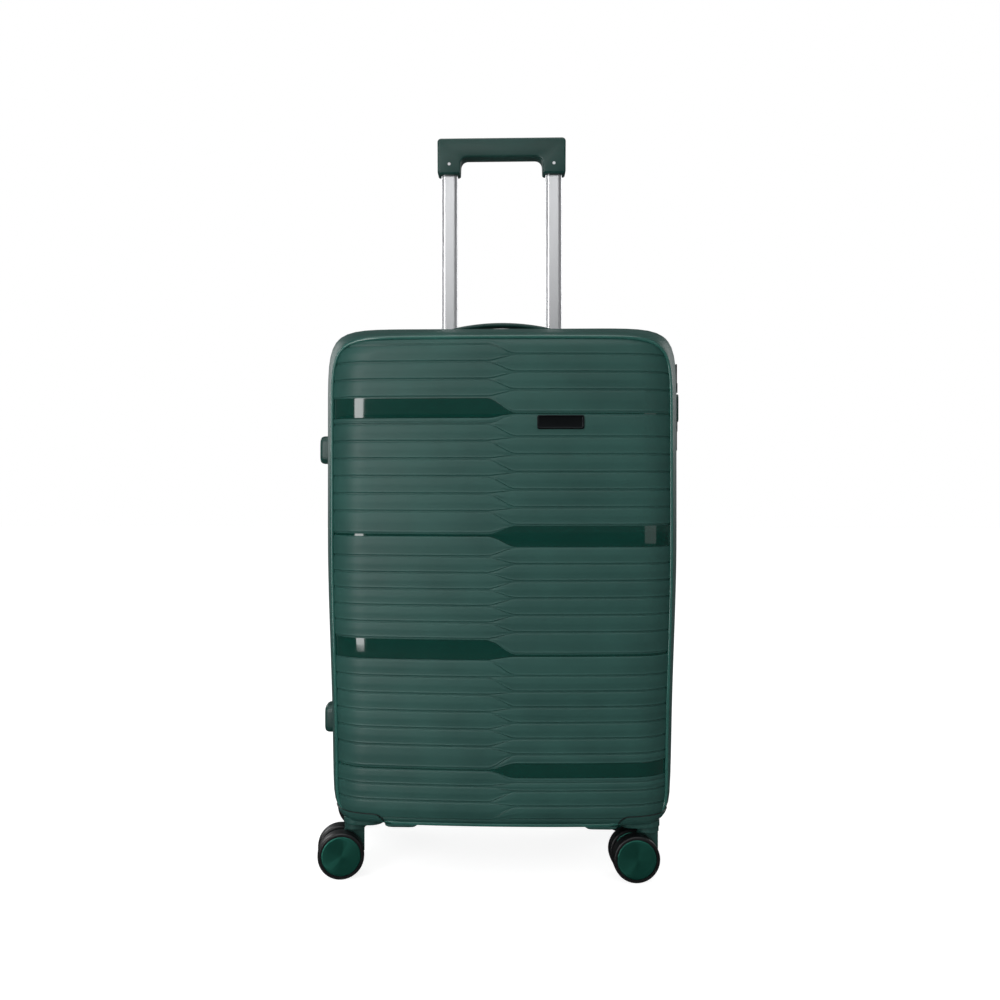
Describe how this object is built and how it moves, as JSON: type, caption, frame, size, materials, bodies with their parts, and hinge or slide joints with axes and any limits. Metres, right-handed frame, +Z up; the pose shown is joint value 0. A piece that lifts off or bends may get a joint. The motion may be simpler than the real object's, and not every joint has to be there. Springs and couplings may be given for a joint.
{
  "type": "hard shell spinner suitcase",
  "caption": "Ribbed hard-shell suitcase on twin-wheel casters: zipped half shells, two-stage trolley handle, lift-up top handle, number lock, lined and strapped inside.",
  "frame": {"origin": "on the floor, below the middle of the case", "axes": "+Z up, -Y out of the lid's face, +X towards the lock side"},
  "size_m": [0.4614, 0.2651, 0.928],
  "materials": {
    "shell_polypropylene": "moulded, fine matte ribs and glossy bands",
    "housing_polypropylene": "moulded satin",
    "hub_plastic": "glossy, turned rings",
    "green_plastic": "moulded satin",
    "black_plastic": "fine texture",
    "dial_plastic": "satin",
    "aluminium_tube": "satin anodised",
    "steel": "zinc plated",
    "zinc": "dark chrome plated casting",
    "badge_metal": "dark satin plate",
    "tyre": "smooth",
    "lining_fabric": "plain woven polyester",
    "mesh_fabric": "knitted mesh",
    "strap_webbing": "woven elastic webbing",
    "zip_tape": "woven tape with a nylon coil"
  },
  "bodies": {
    "case_base": {"rear_shell": "shell_polypropylene", "rear_corner_housings": "housing_polypropylene", "rear_swivel_bushings": "black_plastic", "rear_lining": "lining_fabric", "rear_zip": "zip_tape", "fabric_hinge": "zip_tape", "trolley_seat": "black_plastic", "trolley_outer_tubes": "aluminium_tube", "trolley_foot_bracket": "black_plastic", "carry_handle_mounts": "green_plastic", "lock_housing": "green_plastic", "dial_shaft": "steel", "side_feet": "green_plastic", "rear_rivets": "steel", "cross_straps": "strap_webbing", "strap_buckle": "black_plastic"},
    "lid": {"front_shell": "shell_polypropylene", "front_corner_housings": "housing_polypropylene", "front_swivel_bushings": "black_plastic", "front_lining": "lining_fabric", "front_zip": "zip_tape", "mesh_pocket": "mesh_fabric", "badge_plate": "badge_metal", "front_rivets": "steel"},
    "trolley_lower_stage": {"trolley_middle_tubes": "aluminium_tube"},
    "trolley_upper_stage": {"trolley_inner_tubes": "aluminium_tube", "grip": "green_plastic", "grip_rivets": "steel"},
    "release_button": {"grip_button": "black_plastic"},
    "carry_handle": {"carry_handle": "green_plastic"},
    "number_wheel_1": {"dial_1": "dial_plastic"},
    "number_wheel_2": {"dial_2": "dial_plastic"},
    "number_wheel_3": {"dial_3": "dial_plastic"},
    "lock_release": {"lock_button": "zinc"},
    "upper_puller": {"upper_zip_puller": "zinc"},
    "lower_puller": {"lower_zip_puller": "zinc"},
    "front_left_swivel": {"front_left_fork": "green_plastic", "front_left_axle": "steel"},
    "front_left_wheel_1": {"front_left_tyre_1": "tyre", "front_left_hub_1": "hub_plastic"},
    "front_left_wheel_2": {"front_left_tyre_2": "tyre", "front_left_hub_2": "hub_plastic"},
    "front_right_swivel": {"front_right_fork": "green_plastic", "front_right_axle": "steel"},
    "front_right_wheel_1": {"front_right_tyre_1": "tyre", "front_right_hub_1": "hub_plastic"},
    "front_right_wheel_2": {"front_right_tyre_2": "tyre", "front_right_hub_2": "hub_plastic"},
    "rear_left_swivel": {"rear_left_fork": "green_plastic", "rear_left_axle": "steel"},
    "rear_left_wheel_1": {"rear_left_tyre_1": "tyre", "rear_left_hub_1": "hub_plastic"},
    "rear_left_wheel_2": {"rear_left_tyre_2": "tyre", "rear_left_hub_2": "hub_plastic"},
    "rear_right_swivel": {"rear_right_fork": "green_plastic", "rear_right_axle": "steel"},
    "rear_right_wheel_1": {"rear_right_tyre_1": "tyre", "rear_right_hub_1": "hub_plastic"},
    "rear_right_wheel_2": {"rear_right_tyre_2": "tyre", "rear_right_hub_2": "hub_plastic"}
  },
  "joints": [
    {"name": "lid_hinge", "type": "hinge", "parent": "case_base", "child": "lid", "pos_m": [-0.229, 0, 0.364], "axis": [0, 0, -1], "range_deg": [0, 180]},
    {"name": "trolley_lower_slide", "type": "slide", "parent": "case_base", "child": "trolley_lower_stage", "axis": [0, 0, 1], "range_m": [0, 0.22]},
    {"name": "trolley_upper_slide", "type": "slide", "parent": "trolley_lower_stage", "child": "trolley_upper_stage", "axis": [0, 0, 1], "range_m": [-0.267, 0]},
    {"name": "release_button_press", "type": "slide", "parent": "trolley_upper_stage", "child": "release_button", "axis": [0, 0, -1], "range_m": [0, 0.005], "stiffness_N_per_m": 400},
    {"name": "carry_handle_lift", "type": "slide", "parent": "case_base", "child": "carry_handle", "axis": [0, 0, 1], "range_m": [0, 0.014], "stiffness_N_per_m": 60},
    {"name": "number_wheel_1_turn", "type": "hinge", "parent": "case_base", "child": "number_wheel_1", "pos_m": [0.2203, 0.023, 0.56202], "axis": [0, 0, 1], "continuous": true},
    {"name": "number_wheel_2_turn", "type": "hinge", "parent": "case_base", "child": "number_wheel_2", "pos_m": [0.2203, 0.023, 0.56762], "axis": [0, 0, 1], "continuous": true},
    {"name": "number_wheel_3_turn", "type": "hinge", "parent": "case_base", "child": "number_wheel_3", "pos_m": [0.2203, 0.023, 0.57322], "axis": [0, 0, 1], "continuous": true},
    {"name": "lock_release_press", "type": "slide", "parent": "case_base", "child": "lock_release", "axis": [-1, 0, 0], "range_m": [0, 0.002], "stiffness_N_per_m": 400},
    {"name": "upper_puller_slide", "type": "slide", "parent": "case_base", "child": "upper_puller", "axis": [0, 0, 1], "range_m": [0, 0.03]},
    {"name": "lower_puller_slide", "type": "slide", "parent": "case_base", "child": "lower_puller", "axis": [0, 0, -1], "range_m": [0, 0.24]},
    {"name": "front_left_swivel_turn", "type": "hinge", "parent": "lid", "child": "front_left_swivel", "pos_m": [-0.174, -0.087, 0.06], "axis": [0, 0, 1], "continuous": true},
    {"name": "front_left_wheel_1_roll", "type": "hinge", "parent": "front_left_swivel", "child": "front_left_wheel_1", "pos_m": [-0.19079, -0.08966, 0.0275], "axis": [-0.1564, 0.9877, 0], "continuous": true},
    {"name": "front_left_wheel_2_roll", "type": "hinge", "parent": "front_left_swivel", "child": "front_left_wheel_2", "pos_m": [-0.19079, -0.08966, 0.0275], "axis": [-0.1564, 0.9877, 0], "continuous": true},
    {"name": "front_right_swivel_turn", "type": "hinge", "parent": "lid", "child": "front_right_swivel", "pos_m": [0.174, -0.087, 0.06], "axis": [0, 0, 1], "continuous": true},
    {"name": "front_right_wheel_1_roll", "type": "hinge", "parent": "front_right_swivel", "child": "front_right_wheel_1", "pos_m": [0.15704, -0.08819, 0.0275], "axis": [-0.0698, 0.9976, 0], "continuous": true},
    {"name": "front_right_wheel_2_roll", "type": "hinge", "parent": "front_right_swivel", "child": "front_right_wheel_2", "pos_m": [0.15704, -0.08819, 0.0275], "axis": [-0.0698, 0.9976, 0], "continuous": true},
    {"name": "rear_left_swivel_turn", "type": "hinge", "parent": "case_base", "child": "rear_left_swivel", "pos_m": [-0.174, 0.087, 0.06], "axis": [0, 0, 1], "continuous": true},
    {"name": "rear_left_wheel_1_roll", "type": "hinge", "parent": "rear_left_swivel", "child": "rear_left_wheel_1", "pos_m": [-0.19087, 0.08907, 0.0275], "axis": [0.1219, 0.9925, 0], "continuous": true},
    {"name": "rear_left_wheel_2_roll", "type": "hinge", "parent": "rear_left_swivel", "child": "rear_left_wheel_2", "pos_m": [-0.19087, 0.08907, 0.0275], "axis": [0.1219, 0.9925, 0], "continuous": true},
    {"name": "rear_right_swivel_turn", "type": "hinge", "parent": "case_base", "child": "rear_right_swivel", "pos_m": [0.174, 0.087, 0.06], "axis": [0, 0, 1], "continuous": true},
    {"name": "rear_right_wheel_1_roll", "type": "hinge", "parent": "rear_right_swivel", "child": "rear_right_wheel_1", "pos_m": [0.15709, 0.08522, 0.0275], "axis": [-0.1045, 0.9945, 0], "continuous": true},
    {"name": "rear_right_wheel_2_roll", "type": "hinge", "parent": "rear_right_swivel", "child": "rear_right_wheel_2", "pos_m": [0.15709, 0.08522, 0.0275], "axis": [-0.1045, 0.9945, 0], "continuous": true}
  ]
}
